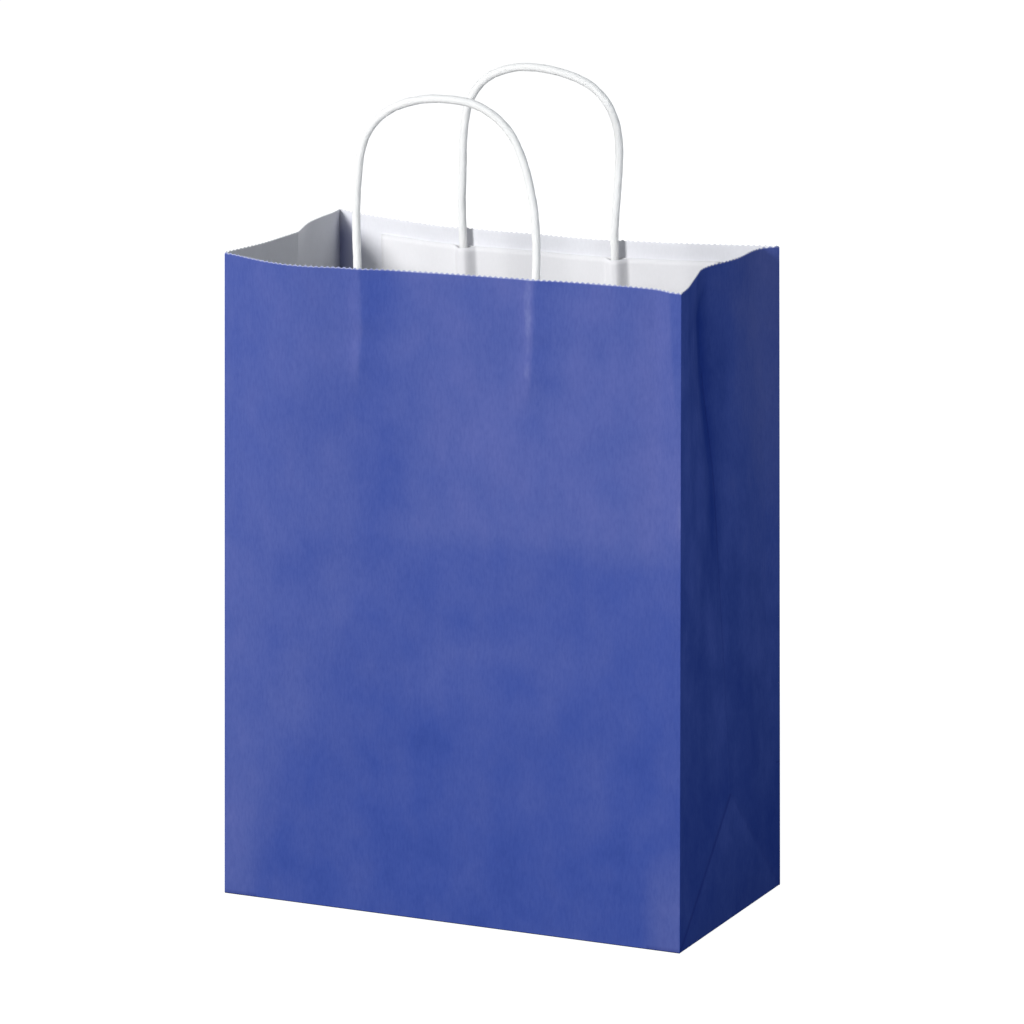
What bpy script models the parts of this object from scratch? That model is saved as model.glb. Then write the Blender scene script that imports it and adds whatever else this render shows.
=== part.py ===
"""Kraft paper carrier bag: one folded sheet with a block bottom and tucked gussets,
and two twisted-paper handles, each glued between two paper strips.

Metres, +Z up. The front panel faces -Y. The origin is the middle of the base.
"""

import math

import bmesh
import bpy
from mathutils import Vector

# The folded sheet
BAG_WIDTH = 0.250
BAG_DEPTH = 0.130
BAG_HEIGHT = 0.330
PAPER = 0.00018
LAP_WIDTH = 0.015
LAP_STEP = 0.0005
TOOTH_PITCH = 0.0028
TOOTH_DEPTH = 0.0008

# The block bottom: two flaps with mitred ends, folded over the ends of the gussets
FLAP_LENGTH = 0.080
MITRE_STEP = 0.0006
FOLD_INSET = 0.0004

# How the open mouth bows, dips and tucks, measured at the rim
FRONT_BULGE = 0.0125
FRONT_DIP = 0.0068
BACK_BOW = 0.0186
LEFT_TUCK = 0.0084
RIGHT_TUCK = 0.0158
BACK_CREASE_DEPTH = 0.0005

# The curves of those bows: (place along the panel from -1 to 1, share of the bow) points
BULGE_CURVE = ((-1, 0), (-0.68, 1), (-0.30, 0.47), (0.20, 0), (1, 0))
DIP_CURVE = ((-1, 0), (0.10, 0), (0.86, 1), (1, 0))
BACK_CURVE = (
    (-1, 0), (-0.86, 0.40), (-0.45, 1), (-0.05, 0.96), (0.30, 0.96), (0.65, 0.58), (1, 0),
)
LEFT_TUCK_CURVE = ((-1, 0), (-0.5, 0.76), (0, 1), (0.4, 0.22), (0.85, 0.12), (1, 0))
RIGHT_TUCK_CURVE = ((-1, 0), (-0.7, 0.21), (0, 1), (0.4, 0.54), (0.85, 0.42), (1, 0))
BOW_POWER = 1.6

# How far the rim's corners are drawn in along X and Y by the bowed panels
PULL_FRONT_LEFT = (0.0030, 0.0016)
PULL_FRONT_RIGHT = (0.0011, -0.0008)
PULL_BACK_LEFT = (0.0035, -0.0003)
PULL_BACK_RIGHT = (0.0040, -0.0006)

# The handles and the strips that hold them
CORD_DIAMETER = 0.0042
FRONT_HANDLE_SPAN = 0.0925
FRONT_HANDLE_SHIFT = -0.0013
BACK_HANDLE_SPAN = 0.0849
BACK_HANDLE_SHIFT = -0.0005
HANDLE_RISE = 0.0868
CORD_TAIL = 0.058
PATCH_LENGTH = 0.190
PATCH_HEIGHT = 0.052
PATCH_DROP = 0.009
GLUE_GAP = 0.0003
RIDGE_TOP = 0.0015
RIDGE_FOOT = 0.0060

# Each handle's arch from its left leg to its right one: (share of half the span, share of the rise)
FRONT_ARCH = (
    (-1.01, 0.28), (-0.985, 0.50), (-0.92, 0.68), (-0.78, 0.81), (-0.57, 0.91), (-0.30, 0.975),
    (0.00, 0.995), (0.30, 0.965), (0.54, 0.905), (0.73, 0.80), (0.86, 0.66), (0.94, 0.50),
    (0.985, 0.35), (1.005, 0.15),
)
BACK_ARCH = (
    (-1.01, 0.15), (-1.00, 0.35), (-0.97, 0.59), (-0.86, 0.765), (-0.66, 0.893), (-0.36, 0.968),
    (0.00, 0.990), (0.37, 0.962), (0.68, 0.905), (0.89, 0.822), (1.02, 0.71), (1.065, 0.57),
    (1.06, 0.40), (1.03, 0.24), (1.005, 0.10),
)

# Fineness of the meshes
COLUMN_STEP = 0.016
RING_STEP = 0.036
RIM_BAND = 0.0025
SLOPE_STEP = 0.001
GUSSET_HALF_COLUMNS = 4

BLUE = (0.075, 0.095, 0.42, 1.0)
WHITE = (0.86, 0.86, 0.87, 1.0)

# Heights of the glued plies of the bottom, from the floor up
INNER_FLAP_Z = PAPER
BASE_Z = 2 * PAPER
FLOOR_Z = BASE_Z + PAPER

# Distances in from the outer face of a panel to the glued layers behind it
BACKING_IN = PAPER + GLUE_GAP
CORD_IN = BACKING_IN + PAPER + GLUE_GAP + CORD_DIAMETER / 2
COVER_FLAT_IN = BACKING_IN + PAPER + GLUE_GAP
COVER_RIDGE_IN = CORD_IN + CORD_DIAMETER / 2 + GLUE_GAP


def smooth_through(knots, at):
    """The value at a place along a smooth curve through (place, value) knots."""
    last = len(knots) - 1
    slopes = []
    for i in range(last + 1):
        before, after = knots[max(i - 1, 0)], knots[min(i + 1, last)]
        slopes.append((after[1] - before[1]) / (after[0] - before[0]))
    i = 0
    while i < last - 1 and at > knots[i + 1][0]:
        i += 1
    (x0, y0), (x1, y1) = knots[i], knots[i + 1]
    step = x1 - x0
    t = min(max((at - x0) / step, 0.0), 1.0)
    rest = 1.0 - t
    ends = y0 * (1 + 2 * t) * rest * rest + y1 * (3 - 2 * t) * t * t
    return ends + step * t * rest * (slopes[i] * rest - slopes[i + 1] * t)


def corner(side_x, side_y, z):
    """A vertical edge of the bag at a height: drawn in along a straight line to the rim."""
    pulls = {
        (-1, -1): PULL_FRONT_LEFT,
        (1, -1): PULL_FRONT_RIGHT,
        (-1, 1): PULL_BACK_LEFT,
        (1, 1): PULL_BACK_RIGHT,
    }
    pull_x, pull_y = pulls[side_x, side_y]
    share = z / BAG_HEIGHT
    return Vector(
        (
            side_x * (BAG_WIDTH / 2 - pull_x * share),
            side_y * (BAG_DEPTH / 2 - pull_y * share),
            z,
        )
    )


def front_bow(u):
    bulge = FRONT_BULGE * smooth_through(BULGE_CURVE, u)
    return bulge - FRONT_DIP * smooth_through(DIP_CURVE, u)


def back_bow(u):
    return -BACK_BOW * smooth_through(BACK_CURVE, u)


def gusset_bow(x_side, u):
    """Two half panels that meet at the tucked-in crease in the middle."""
    curve = LEFT_TUCK_CURVE if x_side < 0 else RIGHT_TUCK_CURVE
    tuck = LEFT_TUCK if x_side < 0 else RIGHT_TUCK
    half = [knot for knot in curve if (knot[0] <= 0 if u < 0 else knot[0] >= 0)]
    return -tuck * smooth_through(half, u)


def panel_point(y_side, u, z):
    """A point on the outer face of the front or back panel; u runs from -1 to 1 along X."""
    start, end = corner(-1, y_side, z), corner(1, y_side, z)
    bow = (front_bow(u) if y_side < 0 else back_bow(u)) * (z / BAG_HEIGHT) ** BOW_POWER
    if y_side > 0 and abs(z - BAG_DEPTH / 2) < PAPER:
        bow -= BACK_CREASE_DEPTH
    along = start.lerp(end, (u + 1) / 2)
    return Vector((along.x, along.y + y_side * bow, leaning_height(z, bow)))


def gusset_point(x_side, u, z):
    """A point on the outer face of a gusset; u runs from -1 at the front to 1 at the back.

    The triangle under the two diagonal folds stays flat.
    """
    start, end = corner(x_side, -1, z), corner(x_side, 1, z)
    fold = BAG_DEPTH / 2 * (1 - abs(u))
    rise = max(0.0, (z - fold) / (BAG_HEIGHT - fold))
    bow = gusset_bow(x_side, u) * rise
    along = start.lerp(end, (u + 1) / 2)
    return Vector((along.x + x_side * bow, along.y, leaning_height(z, bow)))


def leaning_height(z, bow):
    """A leaning sheet keeps its length, so its upper part comes down a little."""
    return z - 0.58 * z * (bow / BAG_HEIGHT) ** 2


def inside_panel(y_side, u, z, inward):
    """The point at a distance behind the outer face of a panel."""
    du = SLOPE_STEP / BAG_WIDTH
    across = panel_point(y_side, u + du, z) - panel_point(y_side, u - du, z)
    up = panel_point(y_side, u, z + SLOPE_STEP) - panel_point(y_side, u, z - SLOPE_STEP)
    normal = across.cross(up).normalized() * -y_side
    return panel_point(y_side, u, z) - normal * inward


def spaced(keys, step):
    """The keys with evenly spaced values between those that lie further apart than a step."""
    keys = sorted(keys)
    values = [keys[0]]
    for low, high in zip(keys, keys[1:]):
        count = max(1, math.ceil((high - low) / step - 1e-6))
        values += [low + (high - low) * (k + 1) / count for k in range(count)]
    return values


def handle_legs(y_side):
    """How far along a panel its handle's two legs stand."""
    span = FRONT_HANDLE_SPAN if y_side < 0 else BACK_HANDLE_SPAN
    shift = FRONT_HANDLE_SHIFT if y_side < 0 else BACK_HANDLE_SHIFT
    return shift - span / 2, shift + span / 2


def panel_columns(y_side):
    """Places along a panel where its grid has a column, from -1 to 1."""
    half = BAG_WIDTH / 2
    keys = {-half, half, -PATCH_LENGTH / 2, PATCH_LENGTH / 2}
    for leg in handle_legs(y_side):
        keys |= {leg - RIDGE_FOOT, leg - RIDGE_TOP, leg + RIDGE_TOP, leg + RIDGE_FOOT}
    if y_side > 0:
        keys |= {LAP_WIDTH - half, LAP_WIDTH + LAP_STEP - half}
    return [x / half for x in spaced(keys, COLUMN_STEP)]


def patch_rings():
    bottom = BAG_HEIGHT - PATCH_DROP - PATCH_HEIGHT
    return spaced({bottom, bottom + PATCH_HEIGHT}, RING_STEP / 2)


def wall_rings():
    """Heights of the rows of the wall's grid, up to the band that carries the teeth."""
    apex = BAG_DEPTH / 2
    low = [apex * k / GUSSET_HALF_COLUMNS for k in range(1, GUSSET_HALF_COLUMNS + 1)]
    middle = spaced({apex, patch_rings()[0]}, RING_STEP)[1:-1]
    return [BASE_Z] + low + middle + patch_rings() + [BAG_HEIGHT - RIM_BAND]


def wall_columns():
    """(point function, side, u, is on the lap) once around the bag, from the front left corner."""
    gusset = [k / GUSSET_HALF_COLUMNS for k in range(-GUSSET_HALF_COLUMNS, GUSSET_HALF_COLUMNS)]
    lap_end = 2 * LAP_WIDTH / BAG_WIDTH - 1
    around = [(panel_point, -1, u, False) for u in panel_columns(-1)[:-1]]
    around += [(gusset_point, 1, u, False) for u in gusset]
    back = panel_columns(1)[:0:-1]
    around += [(panel_point, 1, u, u < lap_end + 1e-6) for u in back]
    around += [(gusset_point, -1, -u, u == -1) for u in gusset]
    return around


def new_object(name, mesh, collection, material=None):
    obj = bpy.data.objects.new(name, mesh)
    if material:
        mesh.materials.append(material)
    collection.objects.link(obj)
    return obj


def solidify(obj, thickness):
    """Thickens a sheet towards the side that its faces turn their backs to."""
    modifier = obj.modifiers.new("Paper", "SOLIDIFY")
    modifier.thickness = thickness
    modifier.offset = -1.0
    modifier.use_even_offset = True
    return modifier


def split_cell(bm, corners, rising):
    """Two triangles, so that both faces of the paper bend along the same line."""
    a, b, c, d = corners
    if rising:
        bm.faces.new((a, b, c))
        bm.faces.new((a, c, d))
    else:
        bm.faces.new((a, b, d))
        bm.faces.new((b, c, d))


def rises_to_middle(column):
    """Whether the diagonal folds climb, seen from outside, to the right of this column."""
    place, side, u = column[:3]
    return place is panel_point or u * side < 0


def toothed_cell(bm, low_start, low_end, start, end):
    """One cell of the rim's band with its pinked edge; returns its new points."""
    teeth = round((end.co - start.co).length / TOOTH_PITCH)
    valleys = [start]
    valleys += [bm.verts.new(start.co.lerp(end.co, k / teeth)) for k in range(1, teeth)]
    valleys.append(end)
    new_points = valleys[1:-1]
    middle = len(valleys) // 2
    bm.faces.new((low_start, low_end, valleys[middle]))
    for k, (left, right) in enumerate(zip(valleys, valleys[1:])):
        bm.faces.new((low_start if k < middle else low_end, right, left))
        if teeth:
            peak = (left.co + right.co) / 2 + Vector((0, 0, TOOTH_DEPTH))
            new_points.append(bm.verts.new(peak))
            bm.faces.new((left, right, new_points[-1]))
    return new_points


def build_wall_sheet(bm, lap_layer):
    """The tube of four panels, closed below, with a pinked edge above. Returns nothing."""
    columns = wall_columns()
    rows = []
    for z in wall_rings() + [BAG_HEIGHT - TOOTH_DEPTH]:
        rows.append([bm.verts.new(place(side, u, z)) for place, side, u, _ in columns])
        for vert, column in zip(rows[-1], columns):
            vert[lap_layer][0] = 1.0 if column[3] else 0.0
    count = len(columns)
    for lower, upper in zip(rows[:-2], rows[1:-1]):
        for i in range(count):
            j = (i + 1) % count
            split_cell(bm, (lower[i], lower[j], upper[j], upper[i]), rises_to_middle(columns[i]))
    for i in range(count):
        j = (i + 1) % count
        start, end = rows[-1][i], rows[-1][j]
        for vert in toothed_cell(bm, rows[-2][i], rows[-2][j], start, end):
            vert[lap_layer][0] = min(start[lap_layer][0], end[lap_layer][0])
    bm.faces.new(rows[0][::-1])


def prism(name, outline, low, high, collection):
    """A flat ply: an outline in plan, from one height to another."""
    bm = bmesh.new()
    face = bm.faces.new([bm.verts.new((x, y, low)) for x, y in outline])
    lifted = bmesh.ops.extrude_face_region(bm, geom=[face])["geom"]
    verts = [item for item in lifted if isinstance(item, bmesh.types.BMVert)]
    bmesh.ops.translate(bm, verts=verts, vec=(0, 0, high - low))
    bmesh.ops.recalc_face_normals(bm, faces=bm.faces)
    mesh = bpy.data.meshes.new(name)
    bm.to_mesh(mesh)
    bm.free()
    ply = new_object(name, mesh, collection)
    ply.hide_render = True
    ply.display_type = "WIRE"
    return ply


def flap_outline(y_side, length, inset):
    """A flap that starts at the long bottom edge and narrows at 45 degrees to its free end."""
    foot = BAG_DEPTH / 2 - FOLD_INSET
    tip = foot - length
    wide = BAG_WIDTH / 2 - FOLD_INSET - inset
    narrow = wide - length
    outline = [(-wide, -foot), (wide, -foot), (narrow, -tip), (-narrow, -tip)]
    return [(x, -y_side * y) for x, y in outline]


def bottom_plies(collection):
    """The glued plies that are joined to the sheet: flaps, turned-in corners and gusset ends."""
    half = PAPER / 2
    inner = flap_outline(-1, FLAP_LENGTH, 0)
    outer = flap_outline(1, FLAP_LENGTH, 0)
    turned = flap_outline(1, BAG_DEPTH / 2 - MITRE_STEP, MITRE_STEP)
    plies = [
        prism("inner_flap", inner, INNER_FLAP_Z, BASE_Z + half, collection),
        prism("turned_corners", turned, INNER_FLAP_Z - half, BASE_Z + half / 2, collection),
        prism("outer_flap", outer, 0, INNER_FLAP_Z + half, collection),
    ]
    reach = BAG_WIDTH / 2 - PAPER / 2
    deep = BAG_DEPTH / 2 - PAPER / 2
    for name, side in (("left_gusset_end", -1), ("right_gusset_end", 1)):
        far = side * (BAG_WIDTH / 2 - FLAP_LENGTH)
        outline = [(side * reach, -deep), (side * reach, deep), (far, deep), (far, -deep)]
        plies.append(prism(name, outline, FLOOR_Z - half, FLOOR_Z + PAPER, collection))
    return plies


def make_bag_body(parts, helpers, material):
    """The folded and glued sheet."""
    bm = bmesh.new()
    lap_layer = bm.verts.layers.deform.verify()
    build_wall_sheet(bm, lap_layer)
    mesh = bpy.data.meshes.new("bag_body")
    bm.to_mesh(mesh)
    bm.free()
    body = new_object("bag_body", mesh, parts, material)
    body.vertex_groups.new(name="lap")
    thick = solidify(body, 2 * PAPER)
    thick.vertex_group = "lap"
    thick.thickness_vertex_group = 0.5
    for ply in bottom_plies(helpers):
        union = body.modifiers.new(ply.name, "BOOLEAN")
        union.operation = "UNION"
        union.object = ply
    return body


def backing_in(y_side, u):
    return BACKING_IN


def ridge_in(y_side, u):
    """How far in the cover strip lies: over the cords in a ridge, otherwise flat."""
    leg_distance = min(abs(u * BAG_WIDTH / 2 - leg) for leg in handle_legs(y_side))
    share = (RIDGE_FOOT - leg_distance) / (RIDGE_FOOT - RIDGE_TOP)
    share = min(max(share, 0.0), 1.0)
    return COVER_FLAT_IN + (COVER_RIDGE_IN - COVER_FLAT_IN) * share


def make_strip(name, y_side, inward, parts, material):
    """A paper strip behind a panel, at a distance in that may change along the panel."""
    reach = PATCH_LENGTH / BAG_WIDTH + 1e-6
    columns = [u for u in panel_columns(y_side) if abs(u) <= reach]
    bm = bmesh.new()
    rows = [
        [bm.verts.new(inside_panel(y_side, u, z, inward(y_side, u))) for u in columns]
        for z in patch_rings()
    ]
    for lower, upper in zip(rows, rows[1:]):
        for i in range(len(columns) - 1):
            split_cell(bm, (lower[i], lower[i + 1], upper[i + 1], upper[i]), y_side < 0)
    if y_side > 0:
        bmesh.ops.reverse_faces(bm, faces=bm.faces)
    mesh = bpy.data.meshes.new(name)
    bm.to_mesh(mesh)
    bm.free()
    strip = new_object(name, mesh, parts, material)
    solidify(strip, PAPER)
    return strip


def leg_points(y_side, x_side, heights):
    u = handle_legs(y_side)[x_side > 0] * 2 / BAG_WIDTH
    return [inside_panel(y_side, u, z, CORD_IN) for z in heights]


def arch_points(left, right, shape):
    """The free part of a handle, standing over its two legs."""
    middle = (left + right) / 2
    along = (right - left) / 2
    return [middle + along * s + Vector((0, 0, HANDLE_RISE * h)) for s, h in shape]


def make_handle(name, y_side, shape, parts, material):
    """A twisted-paper cord: two tails behind the panel and an arch above the rim."""
    heights = [BAG_HEIGHT - CORD_TAIL, BAG_HEIGHT - CORD_TAIL / 2, BAG_HEIGHT]
    left = leg_points(y_side, -1, heights)
    right = leg_points(y_side, 1, heights)
    route = left + arch_points(left[-1], right[-1], shape) + right[::-1]
    curve = bpy.data.curves.new(name, "CURVE")
    curve.dimensions = "3D"
    curve.bevel_depth = CORD_DIAMETER / 2
    curve.bevel_resolution = 2
    curve.use_fill_caps = True
    centre = (left[-1] + right[-1]) / 2
    points = smooth_route([point - centre for point in route])
    spline = curve.splines.new("POLY")
    spline.points.add(len(points) - 1)
    for slot, point in zip(spline.points, points):
        slot.co = (*point, 1.0)
    handle = bpy.data.objects.new(name, curve)
    curve.materials.append(material)
    parts.objects.link(handle)
    handle.location = centre
    return handle


def smooth_route(route, per_span=4):
    """Points along a smooth curve through the route, a few to each span."""
    places = [0.0]
    for a, b in zip(route, route[1:]):
        places.append(places[-1] + (b - a).length)
    axes = [[(s, p[axis]) for s, p in zip(places, route)] for axis in range(3)]
    points = []
    for low, high in zip(places, places[1:]):
        for k in range(per_span):
            at = low + (high - low) * k / per_span
            points.append(Vector([smooth_through(knots, at) for knots in axes]))
    return points + [route[-1]]


def make_material(name, color, roughness):
    material = bpy.data.materials.new(name)
    material.use_nodes = True
    shader = material.node_tree.nodes["Principled BSDF"]
    shader.inputs["Base Color"].default_value = color
    shader.inputs["Roughness"].default_value = roughness
    shader.inputs["Metallic"].default_value = 0.0
    material.diffuse_color = color
    return material


def clear_scene():
    for obj in list(bpy.data.objects):
        bpy.data.objects.remove(obj, do_unlink=True)


def main():
    clear_scene()
    parts = bpy.data.collections.new("paper_bag")
    helpers = bpy.data.collections.new("glued_plies")
    for collection in (parts, helpers):
        bpy.context.scene.collection.children.link(collection)
    stand = bpy.data.objects.new("paper_bag_origin", None)
    parts.objects.link(stand)
    pieces = [make_bag_body(parts, helpers, make_material("blue_kraft", BLUE, 0.6))]
    for side, y_side, shape in (("front", -1, FRONT_ARCH), ("back", 1, BACK_ARCH)):
        strip_paper = make_material(f"{side}_strip_paper", WHITE, 0.7)
        cord_paper = make_material(f"{side}_cord_paper", WHITE, 0.6)
        backing = make_strip(f"{side}_backing_strip", y_side, backing_in, parts, strip_paper)
        cover = make_strip(f"{side}_cover_strip", y_side, ridge_in, parts, strip_paper)
        handle = make_handle(f"{side}_handle", y_side, shape, parts, cord_paper)
        pieces += [backing, cover, handle]
    for piece in pieces:
        piece.parent = stand


main()
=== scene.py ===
"""Looks for the kraft paper carrier bag: a fine two-sided sheet, glued strips, twisted cords,
materials, camera and lights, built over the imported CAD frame.

Metres, +Z up. The front panel faces -Y. The section functions repeat those of part.py.
"""

import math

import bmesh
import bpy
from mathutils import Matrix, Vector, noise


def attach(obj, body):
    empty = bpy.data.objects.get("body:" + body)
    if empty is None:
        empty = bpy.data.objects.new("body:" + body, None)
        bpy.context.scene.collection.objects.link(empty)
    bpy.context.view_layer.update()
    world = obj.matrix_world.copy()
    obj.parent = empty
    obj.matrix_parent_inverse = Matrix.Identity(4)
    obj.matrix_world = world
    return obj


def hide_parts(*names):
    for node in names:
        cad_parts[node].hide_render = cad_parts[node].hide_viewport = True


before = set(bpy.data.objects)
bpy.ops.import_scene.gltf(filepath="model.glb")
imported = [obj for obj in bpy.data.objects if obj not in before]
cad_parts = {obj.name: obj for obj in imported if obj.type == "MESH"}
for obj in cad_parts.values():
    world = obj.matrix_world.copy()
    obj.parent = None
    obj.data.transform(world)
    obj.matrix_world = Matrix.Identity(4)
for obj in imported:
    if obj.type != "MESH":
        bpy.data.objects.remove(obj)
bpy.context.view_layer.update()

# The folded sheet, as in part.py
BAG_WIDTH = 0.250
BAG_DEPTH = 0.130
BAG_HEIGHT = 0.330
PAPER = 0.00018
FLAP_LENGTH = 0.080
MITRE_STEP = 0.0006
FOLD_INSET = 0.0004
FRONT_BULGE = 0.0125
FRONT_DIP = 0.0068
BACK_BOW = 0.0186
LEFT_TUCK = 0.0084
RIGHT_TUCK = 0.0158
BULGE_CURVE = ((-1, 0), (-0.68, 1), (-0.30, 0.47), (0.20, 0), (1, 0))
DIP_CURVE = ((-1, 0), (0.10, 0), (0.86, 1), (1, 0))
BACK_CURVE = (
    (-1, 0), (-0.86, 0.40), (-0.45, 1), (-0.05, 0.96), (0.30, 0.96), (0.65, 0.58), (1, 0),
)
LEFT_TUCK_CURVE = ((-1, 0), (-0.5, 0.76), (0, 1), (0.4, 0.22), (0.85, 0.12), (1, 0))
RIGHT_TUCK_CURVE = ((-1, 0), (-0.7, 0.21), (0, 1), (0.4, 0.54), (0.85, 0.42), (1, 0))
BOW_POWER = 1.6
PULLS = {
    (-1, -1): (0.0030, 0.0016),
    (1, -1): (0.0011, -0.0008),
    (-1, 1): (0.0035, -0.0003),
    (1, 1): (0.0040, -0.0006),
}

# The handles and strips, as in part.py
CORD_DIAMETER = 0.0042
HANDLE_SPANS = {-1: 0.0925, 1: 0.0849}
HANDLE_SHIFTS = {-1: -0.0013, 1: -0.0005}
HANDLE_RISE = 0.0868
CORD_TAIL = 0.058
PATCH_LENGTH = 0.190
PATCH_HEIGHT = 0.052
PATCH_DROP = 0.009
GLUE_GAP = 0.0003
SLOPE_STEP = 0.001
BACKING_IN = PAPER + GLUE_GAP
COVER_FLAT_IN = BACKING_IN + PAPER + GLUE_GAP
CORD_IN = COVER_FLAT_IN + CORD_DIAMETER / 2
COVER_RIDGE_IN = CORD_IN + CORD_DIAMETER / 2 + GLUE_GAP

# The arches of the handles, a touch flatter on top than those of part.py
FRONT_ARCH = (
    (-1.01, 0.28), (-0.99, 0.50), (-0.94, 0.68), (-0.82, 0.81), (-0.59, 0.910), (-0.30, 0.963),
    (0.00, 0.976), (0.30, 0.957), (0.54, 0.895), (0.73, 0.792), (0.86, 0.645), (0.94, 0.49),
    (0.985, 0.35), (1.005, 0.15),
)
BACK_ARCH = (
    (-1.01, 0.15), (-1.00, 0.35), (-0.98, 0.59), (-0.90, 0.765), (-0.69, 0.893), (-0.36, 0.964),
    (0.00, 0.977), (0.37, 0.951), (0.68, 0.896), (0.89, 0.805), (1.01, 0.69), (1.055, 0.56),
    (1.05, 0.40), (1.025, 0.24), (1.005, 0.10),
)

# Detail that the plain solids leave out
PANEL_TEETH = 89
GUSSET_TEETH = 46
TOOTH_DEPTH = 0.0008
RIM_BAND = 0.0028
RING_STEP = 0.0032
STRIP_COLUMNS = 76
STRIP_ROWS = 18
COVER_RIDGE_TOP = 0.0008
COVER_RIDGE_FOOT = 0.0068
COVER_PUFF = 0.00012
PLY_INSET = 0.0003
RIDGE_HEIGHT = 0.0013
RIDGE_RISE = 0.0050
RIDGE_FALL = 0.0110
RIDGE_CREST = 0.0014
RIDGE_SHIFTS = (0.0026, 0.0)
RIDGE_SOFT_END = 0.010
WRINKLE_HEIGHT = 0.0008
CREASE_EXTRA = 0.0034
CREASE_ROUND = 0.0015
EDGE_FACET = 0.0053
EDGE_FACET_LIFT = 0.0015
EDGE_FACET_FOOT = 0.238
RIM_FRAY = 0.0013
FRAYED = 3.2
SHADE_TINT = (0.88, 0.94, 1.0)
CORD_SIDES = 20
CORD_STEPS = 14
CORD_TWIST_PITCH = 0.024
CORD_SEAM_DEPTH = 0.09
CORD_CREASE_DEPTH = 0.05
FOLD_LINE = 0.0008
DIAGONAL_LINE = 0.0026


def smooth_through(knots, at):
    """The value at a place along a smooth curve through (place, value) knots."""
    last = len(knots) - 1
    slopes = []
    for i in range(last + 1):
        before, after = knots[max(i - 1, 0)], knots[min(i + 1, last)]
        slopes.append((after[1] - before[1]) / (after[0] - before[0]))
    i = 0
    while i < last - 1 and at > knots[i + 1][0]:
        i += 1
    (x0, y0), (x1, y1) = knots[i], knots[i + 1]
    step = x1 - x0
    t = min(max((at - x0) / step, 0.0), 1.0)
    rest = 1.0 - t
    ends = y0 * (1 + 2 * t) * rest * rest + y1 * (3 - 2 * t) * t * t
    return ends + step * t * rest * (slopes[i] * rest - slopes[i + 1] * t)


def smooth_step(low, high, value):
    t = min(max((value - low) / (high - low), 0.0), 1.0)
    return t * t * (3 - 2 * t)


def corner(side_x, side_y, z):
    pull_x, pull_y = PULLS[side_x, side_y]
    share = z / BAG_HEIGHT
    x = side_x * (BAG_WIDTH / 2 - pull_x * share)
    y = side_y * (BAG_DEPTH / 2 - pull_y * share)
    return Vector((x, y, z))


def front_bow(u):
    bulge = FRONT_BULGE * smooth_through(BULGE_CURVE, u)
    return bulge - FRONT_DIP * smooth_through(DIP_CURVE, u)


def back_bow(u):
    return -BACK_BOW * smooth_through(BACK_CURVE, u)


def gusset_bow(x_side, u):
    curve = LEFT_TUCK_CURVE if x_side < 0 else RIGHT_TUCK_CURVE
    tuck = LEFT_TUCK if x_side < 0 else RIGHT_TUCK
    half = [knot for knot in curve if (knot[0] <= 0 if u < 0 else knot[0] >= 0)]
    return -tuck * smooth_through(half, u)


def leaning_height(z, bow):
    return z - 0.58 * z * (bow / BAG_HEIGHT) ** 2


def panel_point(y_side, u, z):
    """A point on the outer face of the front or back panel; u runs from -1 to 1 along X."""
    start, end = corner(-1, y_side, z), corner(1, y_side, z)
    bow = (front_bow(u) if y_side < 0 else back_bow(u)) * (max(z, 0.0) / BAG_HEIGHT) ** BOW_POWER
    along = start.lerp(end, (u + 1) / 2)
    return Vector((along.x, along.y + y_side * bow, leaning_height(z, bow)))


def gusset_point(x_side, u, z):
    """A point on the outer face of a gusset; u runs from -1 at the front to 1 at the back."""
    start, end = corner(x_side, -1, z), corner(x_side, 1, z)
    fold = BAG_DEPTH / 2 * (1 - abs(u))
    rise = max(0.0, (z - fold) / (BAG_HEIGHT - fold))
    bow = gusset_bow(x_side, u) * rise
    along = start.lerp(end, (u + 1) / 2)
    return Vector((along.x + x_side * bow, along.y, leaning_height(z, bow)))


def panel_normal(y_side, u, z):
    du = SLOPE_STEP / BAG_WIDTH
    across = panel_point(y_side, u + du, z) - panel_point(y_side, u - du, z)
    up = panel_point(y_side, u, z + SLOPE_STEP) - panel_point(y_side, u, z - SLOPE_STEP)
    return across.cross(up).normalized() * -y_side


def inside_panel(y_side, u, z, inward):
    """A point behind the panel, which follows the panel's unevenness."""
    lift = panel_wrinkle(y_side, u, z)
    return panel_point(y_side, u, z) - panel_normal(y_side, u, z) * (inward - lift)


def handle_legs(y_side):
    span, shift = HANDLE_SPANS[y_side], HANDLE_SHIFTS[y_side]
    return shift - span / 2, shift + span / 2


def wrinkle(x, y, z, seed, scale, lift=1.0):
    """Soft unevenness of a handled paper panel."""
    spot = Vector((x / scale, y / scale, z / (scale * lift) + seed))
    return noise.noise(spot) + 0.5 * noise.noise(spot * 2.3 + Vector((7.1, 3.3, 1.7)))


def ridge_offsets(y_side, x, z):
    """How far a place lies to the right of each cord's ridge, which wavers a little."""
    offsets = []
    for leg, shift in zip(handle_legs(y_side), RIDGE_SHIFTS):
        waver = 0.0009 * noise.noise(Vector((leg * 50, 0, z / 0.015)))
        lean = 0.0024 * smooth_step(BAG_HEIGHT - 0.030, BAG_HEIGHT - CORD_TAIL - 0.004, z)
        offsets.append(x - leg - (shift if y_side < 0 else 0) + waver + lean)
    return offsets


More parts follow.
